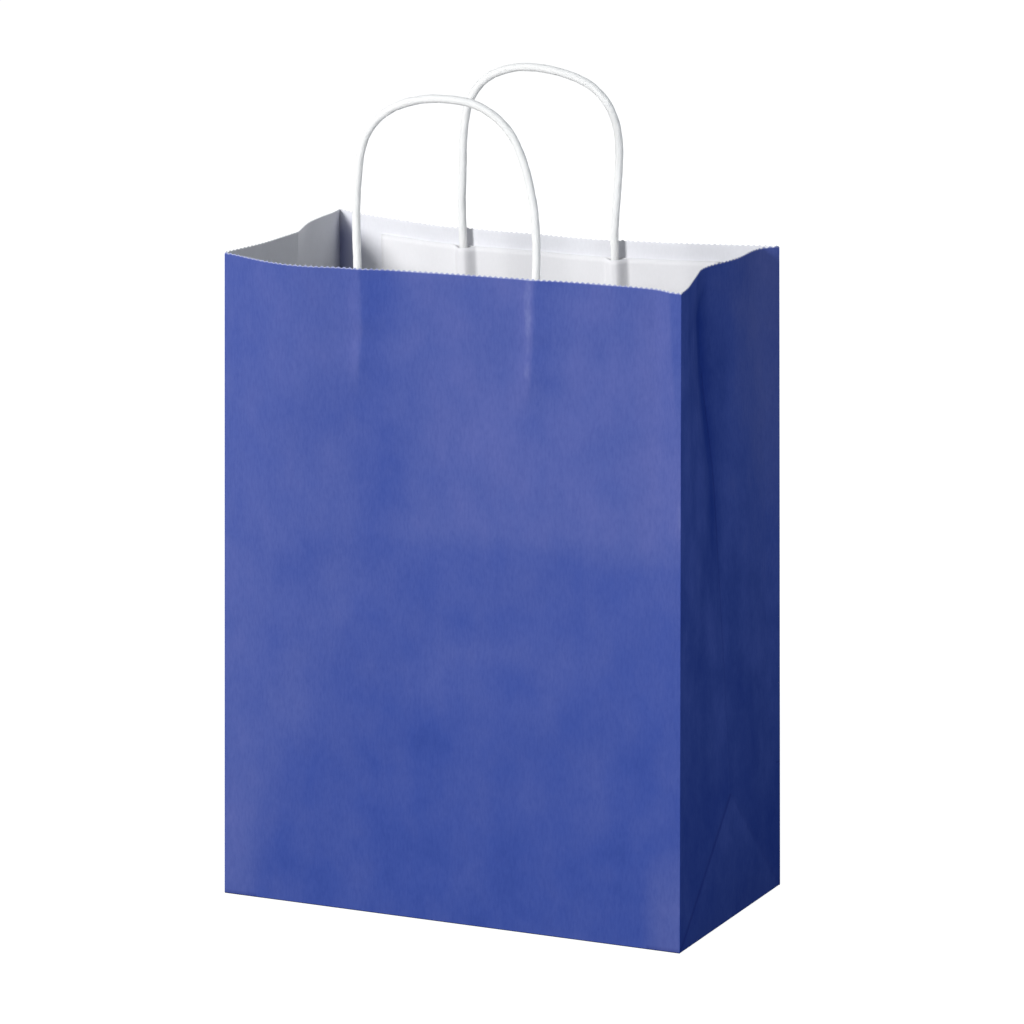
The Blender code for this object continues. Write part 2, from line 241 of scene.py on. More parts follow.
def cord_ridge(y_side, u, z):
    """How far a panel stands out along the creased ridge over each cord that is glued behind it."""
    x = u * BAG_WIDTH / 2
    foot = BAG_HEIGHT - CORD_TAIL
    total = 0.0
    for away in ridge_offsets(y_side, x, z):
        reach = RIDGE_RISE if away < 0 else RIDGE_FALL
        crest = math.sqrt(away * away + RIDGE_CREST * RIDGE_CREST) - RIDGE_CREST
        shape = math.exp(-((crest / reach) ** 1.25))
        uneven = 1 + 0.5 * noise.noise(Vector((3.0 * reach, 4.0 * y_side, z / 0.010)))
        total += uneven * shape * smooth_step(foot - RIDGE_SOFT_END, foot + RIDGE_SOFT_END, z)
    return RIDGE_HEIGHT * total


def edge_fade(u, half_width, margin):
    """1 in the middle of a panel, 0 on its folded edges."""
    return smooth_step(0.0, margin, (1 - abs(u)) * half_width)


def edge_facet(u, z):
    """The narrow facet at the top of the front's right edge, where the fold was pressed twice."""
    width = EDGE_FACET * smooth_step(EDGE_FACET_FOOT, BAG_HEIGHT + 0.03, z) / 0.72
    if width < 0.0003:
        return 0.0
    away = (1 - u) * BAG_WIDTH / 2
    lift = EDGE_FACET_LIFT * width / EDGE_FACET
    if away < width:
        return lift * away / width
    return lift * math.exp(-((away - width) / (3.2 * width)) ** 1.7)


def panel_wrinkle(y_side, u, z):
    x = u * BAG_WIDTH / 2
    fade = edge_fade(u, BAG_WIDTH / 2, 0.018) * smooth_step(0.0, 0.03, z)
    large = wrinkle(x, 0, z, 11.0 * y_side, 0.055, 1.6)
    small = wrinkle(x, 0, z, 5.0 + 23.0 * y_side, 0.019, 1.3)
    return WRINKLE_HEIGHT * fade * (large + 0.22 * small)


def panel_detail(y_side, u, z):
    out = panel_wrinkle(y_side, u, z)
    if y_side < 0:
        out += edge_facet(u, z)
    return out + cord_ridge(y_side, u, z)


def gusset_detail(x_side, u, z):
    y = u * BAG_DEPTH / 2
    fold = BAG_DEPTH / 2 * (1 - abs(u))
    fade = edge_fade(u, BAG_DEPTH / 2, 0.012) * smooth_step(0.0, 0.02, z)
    fade *= smooth_step(0.0, 0.014, abs(y)) * smooth_step(0.0, 0.012, abs(z - fold))
    large = wrinkle(y, x_side, z, 31.0, 0.05, 1.5)
    out = 0.8 * WRINKLE_HEIGHT * fade * large
    if x_side > 0:
        deep = smooth_step(0.215, 0.285, z) * smooth_step(BAG_HEIGHT, 0.303, z)
        out -= CREASE_EXTRA * deep * (1 - abs(u)) ** 1.3
        round_off = max(0.0, 1 - abs(u) / 0.18) ** 2
        out += CREASE_ROUND * smooth_step(0.290, 0.326, z) * round_off
    return out


def left_of(u, place, soft):
    """1 to the left of a place along a panel, 0 to the right of it."""
    return 1 - smooth_step(place - soft, place + soft, u)


def spot(u, z, at_u, at_z, wide, tall):
    """1 at a place on a panel, fading over a width and a height."""
    return math.exp(-(((u - at_u) / wide) ** 2) - ((z - at_z) / tall) ** 2)


def gusset_light_and_shade(u, z):
    """The gussets' painted light and shade: lighter upwards, on the rear half towards the mouth and
    in the bottom triangle; painted shade in the tucked fold, at the front foot and beside the
    bottom triangle at the rear.
    """
    rear = smooth_step(-0.1, 1.0, u) * smooth_step(0.06, 0.30, z)
    fold = math.exp(-(((u + 0.05) / 0.12) ** 2))
    fold *= smooth_step(0.12, 0.28, z) * smooth_step(0.326, 0.300, z)
    top = smooth_step(0.2, 1.0, u) * smooth_step(0.18, 0.32, z)
    bottom_fold = z / (BAG_DEPTH / 2) - (1 - abs(u))
    inside = smooth_step(0.06, -0.06, bottom_fold)
    foot = 0.35 * smooth_step(-0.70, -1.0, u) * smooth_step(0.035, 0.0, z)
    beside = 0.16 * smooth_step(0.2, 0.9, u) * smooth_step(0.085, 0.03, z) * (1 - inside)
    low = 0.22 * inside * smooth_step(0.0, 0.05, z) - foot - beside
    # Painted light higher up, on the rear half and its top; painted shade in the tucked fold.
    return -0.22 + 0.25 * smooth_step(0.02, 0.25, z) + 0.62 * rear + 0.42 * top - 0.75 * fold + low


def front_sheen_and_shade(u, z):
    """How much lighter the front's blue is painted: a painted sheen above the foot, over the upper
    part and towards the lower left, painted highlights on the cords' ridges, and painted shade in
    the troughs beside them and along the pressed fold at the right edge.
    """
    sway = noise.noise(Vector((2.2 * u, 0, 4.0)))
    # Painted sheen: a level above the foot, the upper part, the lower left and a band across the
    # middle.
    ground = 0.30 + 0.10 * smooth_step(0.03, 0.10, z)
    ground += 0.24 * smooth_step(0.085, 0.135, z + 0.006 * sway) * left_of(u, 0.62, 0.2)
    right = 0.34 * smooth_step(-0.40, 0.05, u)
    upper = (0.84 + right) * smooth_step(0.168, 0.206, z + 0.008 * sway - 0.008 * u)
    reach = -0.88 + 3.5 * min(z, 0.19) + 0.12 * sway
    left = 0.94 * left_of(u, reach, 0.24)
    patch = 0.84 * spot(u, z, 0.20, 0.140, 0.40, 0.019)
    lighter_corner = 1.05 * smooth_step(0.76, 0.93, u) * smooth_step(0.085, 0.02, z)
    tone_sheen_and_shade = max(ground, upper, left, patch, lighter_corner)
    tone_sheen_and_shade += 0.27 * smooth_step(0.72, 0.88, u) * smooth_step(0.12, 0.20, z)
    tone_sheen_and_shade -= 0.22 * smooth_step(0.88, 0.93, u) * smooth_step(0.24, 0.27, z)
    tone_sheen_and_shade += 0.24 * spot(u, z, -0.92, 0.165, 0.14, 0.022)
    tone_sheen_and_shade += 0.30 * spot(u, z, -0.96, 0.025, 0.13, 0.035)
    tone_sheen_and_shade -= 0.32 * spot(u, z, -0.28, 0.224, 0.17, 0.034)
    tone_sheen_and_shade -= 0.22 * spot(u, z, -0.66, 0.172, 0.18, 0.014)
    # Painted shade along the pressed fold at the top of the right edge.
    fold = 1 - EDGE_FACET * 2 / BAG_WIDTH * smooth_step(EDGE_FACET_FOOT - 0.02, BAG_HEIGHT, z)
    tone_sheen_and_shade -= 0.62 * smooth_step(fold - 0.020, fold + 0.008, u) * smooth_step(0.25, 0.30, z)
    # Painted highlight on each ridge's crest, painted shade in the trough to its right.
    low = smooth_step(0.262, 0.284, z)
    for away in ridge_offsets(-1, u * BAG_WIDTH / 2, z):
        crest = math.exp(-(((away + 0.0026) / 0.0040) ** 2))
        reach = 0.0150 if away > 0.001 else 0.0010
        trough = math.exp(-(((away - 0.001) / reach) ** 2))
        tone_sheen_and_shade += low * (0.34 * crest - 0.50 * trough)
    return tone_sheen_and_shade


def sheet_tone_sheen_and_shade(place, side, u, z):
    # Ink clouds on every face, added to the front's painted sheen and shade and the gussets'
    # painted light and shade.
    at = Vector((u * 3.1 + 9 * side, 2.0 if place is panel_point else 7.0, z * 26))
    cloud = noise.noise(at) + 0.5 * noise.noise(at * 2.6)
    if place is panel_point and side < 0:
        return front_sheen_and_shade(u, z) + 0.22 * cloud
    # The back's outside: lighter towards the top and the middle.
    if place is panel_point:
        return 0.55 + 0.4 * smooth_step(0.10, 0.26, z) * (1 - 0.4 * abs(u)) + 0.25 * cloud
    return gusset_light_and_shade(u, z) + 0.15 * cloud


def lap_tint(place, side, u, z):
    """Inside: 1 in the back left corner below the rim, a painted shade tinted blue, partly the ink
    that shows through the glued overlap; fainter on the left gusset beside it.
    """
    if place is panel_point and side > 0:
        return (1 - smooth_step(-0.99, -0.84, u)) * smooth_step(BAG_HEIGHT + 0.002, 0.314, z)
    if place is gusset_point and side < 0 and u > 0:
        return 0.30 * smooth_step(0.80, 1.0, u) * smooth_step(BAG_HEIGHT + 0.002, 0.314, z)
    return 0.0


def sheet_point(place, side, u, z):
    """A point of the detailed sheet: the solid's own face, moved out by the detail."""
    point = place(side, u, z)
    if place is panel_point:
        return point + panel_normal(side, u, z) * panel_detail(side, u, z)
    return point + Vector((side * gusset_detail(side, u, z), 0, 0))


def tooth_share(steps):
    """0 in the valley between two teeth of the pinked rim, 1 on a tooth's tip."""
    return 1 - abs(2 * (steps % 1.0) - 1)


def panel_steps(y_side):
    """Places along a panel counted in teeth: whole ones, and finer ones over the cords."""
    steps = {float(k) for k in range(PANEL_TEETH + 1)}
    for leg in handle_legs(y_side):
        at = (leg / BAG_WIDTH + 0.5) * PANEL_TEETH
        low = math.floor(at) - 2
        steps |= {low + k / 4 for k in range(21)}
    steps |= {0.15, 0.5, PANEL_TEETH - 0.5, PANEL_TEETH - 0.15}
    if y_side < 0:
        steps |= {PANEL_TEETH - k / 4 for k in range(1, 13)}
    return sorted(steps)


def gusset_steps():
    steps = {float(k) for k in range(GUSSET_TEETH + 1)}
    steps |= {0.15, 0.5, GUSSET_TEETH - 0.5, GUSSET_TEETH - 0.15}
    middle = GUSSET_TEETH / 2
    steps |= {middle - 0.25, middle + 0.25}
    return sorted(steps)


def half_teeth(low, high):
    """Every place where the pinked edge turns between two columns, both included."""
    inner = [k / 2 for k in range(math.ceil(low * 2), math.floor(high * 2) + 1)]
    return sorted({low, high} | {s for s in inner if low < s < high})


def wall_sides():
    """(place function, side, steps in order, teeth along it) once around the bag."""
    return [
        (panel_point, -1, panel_steps(-1), PANEL_TEETH),
        (gusset_point, 1, gusset_steps(), GUSSET_TEETH),
        (panel_point, 1, panel_steps(1)[::-1], PANEL_TEETH),
        (gusset_point, -1, gusset_steps()[::-1], GUSSET_TEETH),
    ]


def wall_heights():
    unit = BAG_DEPTH / GUSSET_TEETH
    low = [unit * k for k in range(1, GUSSET_TEETH // 2 + 1)]
    top = BAG_HEIGHT - RIM_BAND
    count = round((top - low[-1]) / RING_STEP)
    rest = [low[-1] + (top - low[-1]) * (k + 1) / count for k in range(count)]
    return [0.0001, 0.0006] + low + rest + [BAG_HEIGHT - RIM_FRAY]


def wall_columns():
    """(place function, side, u, steps, teeth) for each column, without repeating a corner."""
    columns = []
    for place, side, steps, teeth in wall_sides():
        for step in steps[:-1]:
            columns.append((place, side, 2 * step / teeth - 1, step, teeth))
    return columns


def build_sheet(name, materials):
    """The tube of four panels with its pinked rim, printed outside and white inside."""
    columns = wall_columns()
    count = len(columns)
    bm = bmesh.new()
    tone_sheen_and_shade = bm.verts.layers.float.new("tone_sheen_and_shade")
    lap = bm.verts.layers.float.new("lap")
    rows = []
    for z in wall_heights():
        inset = FOLD_INSET if z < PAPER else 0.0
        row = []
        for place, side, u, _, _ in columns:
            point = sheet_point(place, side, u, z)
            if inset:
                point.x -= math.copysign(inset, point.x) * (place is gusset_point)
                point.y -= math.copysign(inset, point.y) * (place is panel_point)
            row.append(bm.verts.new(point))
            row[-1][tone_sheen_and_shade] = sheet_tone_sheen_and_shade(place, side, u, z)
            row[-1][lap] = lap_tint(place, side, u, z)
        rows.append(row)
    for lower, upper in zip(rows, rows[1:]):
        for i in range(count):
            j = (i + 1) % count
            place, side, u = columns[i][:3]
            a, b, c, d = lower[i], lower[j], upper[j], upper[i]
            if place is panel_point:
                bm.faces.new((a, b, c, d))
            elif u * side < 0:
                bm.faces.new((a, b, c))
                bm.faces.new((a, c, d))
            else:
                bm.faces.new((a, b, d))
                bm.faces.new((b, c, d))
    add_rim(bm, columns, rows[-1])
    mesh = bpy.data.meshes.new(name)
    bm.to_mesh(mesh)
    bm.free()
    mesh.shade_smooth()
    mesh.set_sharp_from_angle(angle=math.radians(20))
    for material in materials:
        mesh.materials.append(material)
    sheet = bpy.data.objects.new(name, mesh)
    bpy.context.scene.collection.objects.link(sheet)
    thick = sheet.modifiers.new("Paper", "SOLIDIFY")
    thick.thickness = PAPER
    thick.offset = -1.0
    thick.material_offset = 1
    thick.material_offset_rim = 1
    return sheet


def add_rim(bm, columns, row):
    """The topmost band of cells, which ends in the teeth."""
    count = len(columns)
    tone_sheen_and_shade = bm.verts.layers.float["tone_sheen_and_shade"]
    lap = bm.verts.layers.float["lap"]
    ends = []
    for place, side, u, step, teeth in columns:
        height = BAG_HEIGHT - TOOTH_DEPTH * (1 - tooth_share(step))
        ends.append(bm.verts.new(sheet_point(place, side, u, height)))
        ends[-1][tone_sheen_and_shade] = FRAYED
        ends[-1][lap] = lap_tint(place, side, u, height)
    for i in range(count):
        j = (i + 1) % count
        place, side, u, step, teeth = columns[i]
        if columns[j][0] is place and columns[j][1] == side:
            next_step = columns[j][3]
        else:
            next_step = teeth if columns[i][3] > teeth / 2 else 0.0
        low, high = min(step, next_step), max(step, next_step)
        turns = half_teeth(low, high)[1:-1]
        if step > next_step:
            turns = turns[::-1]
        points = [ends[i]]
        for s in turns:
            height = BAG_HEIGHT - TOOTH_DEPTH * (1 - tooth_share(s))
            points.append(bm.verts.new(sheet_point(place, side, 2 * s / teeth - 1, height)))
            points[-1][tone_sheen_and_shade] = FRAYED
            points[-1][lap] = lap_tint(place, side, u, height)
        points.append(ends[j])
        middle = len(points) // 2
        bm.faces.new((row[i], row[j], points[middle]))
        for k, (left, right) in enumerate(zip(points, points[1:])):
            bm.faces.new((row[i] if k < middle else row[j], right, left))


def link_mesh(name, bm, materials, sharp=30):
    mesh = bpy.data.meshes.new(name)
    bm.to_mesh(mesh)
    bm.free()
    mesh.shade_smooth()
    mesh.set_sharp_from_angle(angle=math.radians(sharp))
    for material in materials:
        mesh.materials.append(material)
    obj = bpy.data.objects.new(name, mesh)
    bpy.context.scene.collection.objects.link(obj)
    return obj


def flap_outline(y_side, length, inset):
    foot = BAG_DEPTH / 2 - FOLD_INSET
    tip = foot - length
    wide = BAG_WIDTH / 2 - FOLD_INSET - inset
    narrow = wide - length
    outline = [(-wide, -foot), (wide, -foot), (narrow, -tip), (-narrow, -tip)]
    if y_side < 0:
        return outline
    return [(x, -y) for x, y in outline][::-1]


def add_ply(bm, outline, low, top_material, side_material=1):
    """A flat ply of paper over the outline, blue below."""
    below = [bm.verts.new((x, y, low)) for x, y in outline]
    above = [bm.verts.new((x, y, low + PAPER)) for x, y in outline]
    bm.faces.new(below[::-1]).material_index = 0
    bm.faces.new(above).material_index = top_material
    count = len(outline)
    for i in range(count):
        j = (i + 1) % count
        face = bm.faces.new((below[i], below[j], above[j], above[i]))
        face.material_index = side_material


def build_bottom(name, materials):
    """The glued flaps of the block bottom, seen from below and on the floor inside."""
    bm = bmesh.new()
    add_ply(bm, flap_outline(1, FLAP_LENGTH, 0.0), 0.0, 1)
    add_ply(bm, flap_outline(-1, FLAP_LENGTH, 0.0), PAPER, 1)
    turned = flap_outline(1, BAG_DEPTH / 2 - MITRE_STEP, MITRE_STEP)
    add_ply(bm, turned, PAPER * 1.02, 1)
    reach, deep = BAG_WIDTH / 2 - PLY_INSET, BAG_DEPTH / 2 - PLY_INSET
    for side in (-1, 1):
        far = side * (BAG_WIDTH / 2 - FLAP_LENGTH)
        xs = sorted((side * reach, far))
        outline = [(xs[0], -deep), (xs[1], -deep), (xs[1], deep), (xs[0], deep)]
        add_ply(bm, outline, PAPER * 2.05, 1)
    return link_mesh(name, bm, materials)


def strip_in(y_side, u, is_cover):
    """How far behind the panel's own face a strip lies: flat, or arched over the cords."""
    if not is_cover:
        return BACKING_IN
    x = u * BAG_WIDTH / 2
    depth = COVER_RIDGE_IN - COVER_FLAT_IN
    total = 0.0
    for leg in handle_legs(y_side):
        total += smooth_step(COVER_RIDGE_FOOT, COVER_RIDGE_TOP, abs(x - leg))
    return COVER_FLAT_IN + depth * min(total, 1.0)


def build_strip(name, y_side, is_cover, material):
    """A glued paper strip, pressed down beside the cords and arched over them."""
    half = PATCH_LENGTH / 2
    xs = {-half + PATCH_LENGTH * k / STRIP_COLUMNS for k in range(STRIP_COLUMNS + 1)}
    if is_cover:
        for leg in handle_legs(y_side):
            xs |= {leg + 0.0006 * k for k in range(-13, 14)}
    xs = sorted(xs)
    bottom = BAG_HEIGHT - PATCH_DROP - PATCH_HEIGHT
    zs = [bottom + PATCH_HEIGHT * k / STRIP_ROWS for k in range(STRIP_ROWS + 1)]
    bm = bmesh.new()
    rows = []
    for z in zs:
        row = []
        for x in xs:
            u = 2 * x / BAG_WIDTH
            uneven = noise.noise(Vector((x / 0.02, y_side * 9.0, z / 0.014)))
            puff = COVER_PUFF * (1 + uneven)
            inward = strip_in(y_side, u, is_cover) + (puff if is_cover else 0.0)
            row.append(bm.verts.new(inside_panel(y_side, u, z, inward)))
        rows.append(row)
    for lower, upper in zip(rows, rows[1:]):
        for i in range(len(xs) - 1):
            cell = (lower[i], lower[i + 1], upper[i + 1], upper[i])
            bm.faces.new(cell if y_side < 0 else cell[::-1])
    strip = link_mesh(name, bm, [material], 60)
    thick = strip.modifiers.new("Paper", "SOLIDIFY")
    thick.thickness = PAPER
    thick.offset = -1.0
    return strip


def handle_route(y_side, shape):
    left_u, right_u = [leg * 2 / BAG_WIDTH for leg in handle_legs(y_side)]
    heights = [BAG_HEIGHT - CORD_TAIL, BAG_HEIGHT - CORD_TAIL / 2, BAG_HEIGHT]
    left = [inside_panel(y_side, left_u, z, CORD_IN) for z in heights]
    right = [inside_panel(y_side, right_u, z, CORD_IN) for z in heights]
    middle = (left[-1] + right[-1]) / 2
    along = (right[-1] - left[-1]) / 2
    arch = [middle + along * s + Vector((0, 0, HANDLE_RISE * h)) for s, h in shape]
    return left + arch + right[::-1]


def smooth_route(route, per_span):
    places = [0.0]
    for a, b in zip(route, route[1:]):
        places.append(places[-1] + (b - a).length)
    axes = [[(s, p[axis]) for s, p in zip(places, route)] for axis in range(3)]
    points = []
    for low, high in zip(places, places[1:]):
        for k in range(per_span):
            at = low + (high - low) * k / per_span
            points.append(Vector([smooth_through(knots, at) for knots in axes]))
    return points + [route[-1]]


def groove(angle, width):
    """A narrow notch around angle 0, from 0 to 1."""
    wrapped = (angle + math.pi) % (2 * math.pi) - math.pi
    return math.exp(-((wrapped / width) ** 2))


def build_cord(name, y_side, shape, seed, material):
    """Paper twisted into a cord: a helical seam and a fainter second crease."""
    points = smooth_route(handle_route(y_side, shape), CORD_STEPS)
    frame_x = Vector((1, 0, 0))
    length = 0.0
    bm = bmesh.new()
    rings = []
    for i, point in enumerate(points):
        before, after = points[max(i - 1, 0)], points[min(i + 1, len(points) - 1)]
        ahead = (after - before).normalized()
        frame_x = (frame_x - ahead * frame_x.dot(ahead)).normalized()
        frame_y = ahead.cross(frame_x)
        if i:
            length += (point - points[i - 1]).length
        drift = 0.8 * noise.noise(Vector((seed, 0, length / 0.035)))
        turn = 2 * math.pi * length / CORD_TWIST_PITCH + drift
        fat = 0.99 + 0.04 * noise.noise(Vector((seed, 5, length / 0.011)))
        ring = []
        for k in range(CORD_SIDES):
            angle = 2 * math.pi * k / CORD_SIDES
            cut = CORD_SEAM_DEPTH * groove(angle - turn, 0.34)
            cut += CORD_CREASE_DEPTH * groove(angle - turn - 2.5, 0.5)
            across, up = math.cos(angle), math.sin(angle)
            at = Vector((across * 2, up * 2, length / 0.006 + seed))
            radius = CORD_DIAMETER / 2 * (fat - cut + 0.012 * noise.noise(at))
            out = frame_x * across + frame_y * up
            ring.append(bm.verts.new(point + out * radius))
        rings.append(ring)
    for low, high in zip(rings, rings[1:]):
        for k in range(CORD_SIDES):
            j = (k + 1) % CORD_SIDES
            bm.faces.new((low[k], low[j], high[j], high[k]))
    bm.faces.new(rings[0][::-1])
    bm.faces.new(rings[-1])
    return link_mesh(name, bm, [material], 60)


class Nodes:
    """Short hands for building one material's nodes."""

    def __init__(self, name):
        self.material = bpy.data.materials.new(name)
        self.material.use_nodes = True
        self.tree = self.material.node_tree
        self.shader = self.tree.nodes["Principled BSDF"]
        self.place = self.tree.nodes.new("ShaderNodeTexCoord").outputs["Object"]

    def link(self, source, target):
        self.tree.links.new(source, target)

    def math(self, operation, *values, clamp=False):
        node = self.tree.nodes.new("ShaderNodeMath")
        node.operation = operation
        node.use_clamp = clamp
        for socket, value in zip(node.inputs, values):
            if isinstance(value, (int, float)):
                socket.default_value = value
            else:
                self.link(value, socket)
        return node.outputs[0]

    def weighted(self, first, first_share, second, second_share):
        """A share of one value plus a share of another."""
        first_part = self.math("MULTIPLY", first, first_share)
        return self.math("ADD", first_part, self.math("MULTIPLY", second, second_share))

    def stretched(self, scale):
        node = self.tree.nodes.new("ShaderNodeMapping")
        node.inputs["Scale"].default_value = scale
        self.link(self.place, node.inputs["Vector"])
        return node.outputs[0]

    def noise(self, scale, detail=3.0, roughness=0.55, stretch=None):
        node = self.tree.nodes.new("ShaderNodeTexNoise")
        node.inputs["Scale"].default_value = scale
        node.inputs["Detail"].default_value = detail
        node.inputs["Roughness"].default_value = roughness
        self.link(self.stretched(stretch) if stretch else self.place, node.inputs["Vector"])
        return node.outputs["Fac"]

    def ramp(self, value, stops):
        node = self.tree.nodes.new("ShaderNodeValToRGB")
        elements = node.color_ramp.elements
        elements[0].position, elements[0].color = stops[0][0], (*stops[0][1], 1)
        elements[1].position, elements[1].color = stops[-1][0], (*stops[-1][1], 1)
        for position, color in stops[1:-1]:
            elements.new(position).color = (*color, 1)
        self.link(value, node.inputs["Fac"])
        return node.outputs["Color"]

    def mix(self, share, first, second, blend="MIX"):
        node = self.tree.nodes.new("ShaderNodeMix")
        node.data_type = "RGBA"
        node.blend_type = blend
        for index, value in ((0, share), (6, first), (7, second)):
            socket = node.inputs[index]
            if isinstance(value, (int, float)):
                socket.default_value = value
            elif isinstance(value, tuple):
                socket.default_value = (*value, 1)
            else:
                self.link(value, socket)
        return node.outputs[2]

    def bump(self, height, strength, distance):
        node = self.tree.nodes.new("ShaderNodeBump")
        node.inputs["Strength"].default_value = strength
        node.inputs["Distance"].default_value = distance
        self.link(height, node.inputs["Height"])
        self.link(node.outputs["Normal"], self.shader.inputs["Normal"])

    def attribute(self, name):
        node = self.tree.nodes.new("ShaderNodeAttribute")
        node.attribute_name = name
        return node.outputs["Fac"]

    def xyz(self):
        node = self.tree.nodes.new("ShaderNodeSeparateXYZ")
        self.link(self.place, node.inputs[0])
        return node.outputs

    def line(self, distance, width):
        """1 on a line, 0 further from it than a width."""
        share = self.math("DIVIDE", self.math("ABSOLUTE", distance), width)
        return self.math("SUBTRACT", 1.0, self.math("MINIMUM", share, 1.0))

    def soften(self, depth):
        """Let light spread inside the paper, as it does in a thick white cord."""
        self.shader.inputs["Subsurface Weight"].default_value = 1.0
        self.shader.inputs["Subsurface Radius"].default_value = (1.0, 1.0, 1.0)
        self.shader.inputs["Subsurface Scale"].default_value = depth

    def finish(self, color, roughness, specular):
        self.link(color, self.shader.inputs["Base Color"])
        self.shader.inputs["Roughness"].default_value = roughness
        self.shader.inputs["Specular IOR Level"].default_value = specular
        return self.material


def fold_shade_lines(nodes):
    """1 along the folds, for painted shade and a dip in the bump: the gussets' creases and
    diagonals, and the one across the back.
    """
    x, y, z = nodes.xyz()
    gusset = nodes.math("GREATER_THAN", nodes.math("ABSOLUTE", x), 0.107)
    above = nodes.math("GREATER_THAN", z, BAG_DEPTH / 2)
    below = nodes.math("SUBTRACT", 1.0, above)
    rounded = nodes.math("DIVIDE", nodes.math("SUBTRACT", 0.322, z), 0.035, clamp=True)
    sharp = nodes.math("DIVIDE", nodes.math("SUBTRACT", z, 0.045), 0.17, clamp=True)
    rounded = nodes.math("MULTIPLY", rounded, sharp)
    crease = nodes.math("MULTIPLY", nodes.line(y, FOLD_LINE), above)
    middle = nodes.math("MULTIPLY", crease, rounded)
    slant = nodes.math("SUBTRACT", nodes.math("ADD", nodes.math("ABSOLUTE", y), z), BAG_DEPTH / 2)
    diagonal = nodes.math("MULTIPLY", nodes.line(slant, DIAGONAL_LINE), below)
    # The front half's diagonal gets the stronger painted shade.
    front_half = nodes.math("LESS_THAN", y, 0.0)
    strength = nodes.math("ADD", 0.22, nodes.math("MULTIPLY", front_half, 0.75))
    diagonal = nodes.math("MULTIPLY", diagonal, strength)
    gusset_lines = nodes.math("MULTIPLY", nodes.math("MAXIMUM", middle, diagonal), gusset)
    back = nodes.math("GREATER_THAN", y, 0.0615)
    level = nodes.math("SUBTRACT", z, BAG_DEPTH / 2)
    across = nodes.math("MULTIPLY", nodes.line(level, FOLD_LINE), back)
    return nodes.math("MAXIMUM", gusset_lines, across)


def blue_kraft():
    """Printed kraft paper: fine fibres, soft blotches in the ink, painted sheen and shade from the
    sheet's attribute, and painted shade along the folds.
    """
    nodes = Nodes("blue_kraft_paper")
    fibres = nodes.noise(900.0, 3.0, 0.6, (1.0, 1.0, 0.28))
    grain = nodes.noise(2400.0, 2.0, 0.5)
    blotch = nodes.noise(45.0, 4.0, 0.6, (1.0, 1.0, 0.75))
    streak = nodes.noise(90.0, 3.0, 0.6, (1.0, 1.0, 0.16))
    cloud = nodes.weighted(blotch, 0.8, streak, 0.2)
    tone_sheen_and_shade = nodes.attribute("tone_sheen_and_shade")
    tone = nodes.math("ADD", tone_sheen_and_shade, nodes.math("MULTIPLY", nodes.math("SUBTRACT", cloud, 0.5), 1.3))
    share = nodes.math("DIVIDE", nodes.math("ADD", tone, 0.6), 4.0)
    # From dark to light: painted shade, the ink's tones, painted sheen; the top stop is the pale
    # fibres of the cut rim.
    color = nodes.ramp(share, [
        (0.0, (0.019, 0.044, 0.250)), (0.12, (0.035, 0.066, 0.292)), (0.20, (0.050, 0.085, 0.340)),
        (0.40, (0.083, 0.115, 0.366)), (0.52, (0.107, 0.133, 0.388)), (0.80, (0.42, 0.46, 0.68)),
    ])
    speck = nodes.ramp(fibres, [
        (0.30, (0.86, 0.88, 0.93)), (0.55, (1.0, 1.0, 1.0)), (0.75, (1.09, 1.07, 1.03)),
    ])
    color = nodes.mix(0.8, color, speck, "MULTIPLY")
    lines = fold_shade_lines(nodes)
    # Painted shade along the folds.
    color = nodes.mix(nodes.math("MULTIPLY", lines, 0.45, clamp=True), color, (0.012, 0.020, 0.16))
    height = nodes.weighted(fibres, 0.7, grain, 0.3)
    height = nodes.math("SUBTRACT", height, nodes.math("MULTIPLY", lines, 2.5))
    nodes.bump(height, 0.35, 0.00012)
    return nodes.finish(color, 0.8, 0.0)


def white_kraft(name, color, fibre_share=1.0, lap=None):
    """Bleached kraft paper: faint fibres and clouds, and a painted corner shade, partly ink that
    shows through a glued overlap.
    """
    nodes = Nodes(name)
    fibres = nodes.noise(1100.0, 3.0, 0.6, (1.0, 1.0, 0.35))
    cloud = nodes.noise(55.0, 4.0, 0.6)
    low = tuple(c * (1 - 0.045 * fibre_share) for c in color)
    tone = nodes.weighted(fibres, 0.5, cloud, 0.5)
    shade = nodes.ramp(tone, [(0.36, low), (0.62, color)])
    if lap:
        shade = nodes.mix(nodes.attribute("lap"), shade, lap)
    nodes.bump(fibres, 0.25, 0.0001)
    return nodes.finish(shade, 0.7, 0.15)


def cord_paper(name, color):
    """Twisted white paper: fine creases that run along the twist."""
    nodes = Nodes(name)
    creases = nodes.noise(500.0, 3.0, 0.6, (1.0, 1.0, 0.40))
    low = tuple(c * 0.975 for c in color)
    shade = nodes.ramp(creases, [(0.34, low), (0.56, color)])
    nodes.bump(creases, 0.1, 0.00005)
    nodes.soften(CORD_DIAMETER)
    return nodes.finish(shade, 0.7, 0.10)


def seen_by(tree, *kinds):
    """1 for a ray of any of these kinds, 0 for every other ray."""
    rays = tree.nodes.new("ShaderNodeLightPath").outputs
    share = rays[kinds[0]]
    for kind in kinds[1:]:
        either = tree.nodes.new("ShaderNodeMath")
        either.operation = "MAXIMUM"
        tree.links.new(share, either.inputs[0])
        tree.links.new(rays[kind], either.inputs[1])
        share = either.outputs[0]
    return share


def diffuse(tree, grey):
    node = tree.nodes.new("ShaderNodeBsdfDiffuse")
    node.inputs["Color"].default_value = (grey, grey, grey, 1)
    return node.outputs[0]


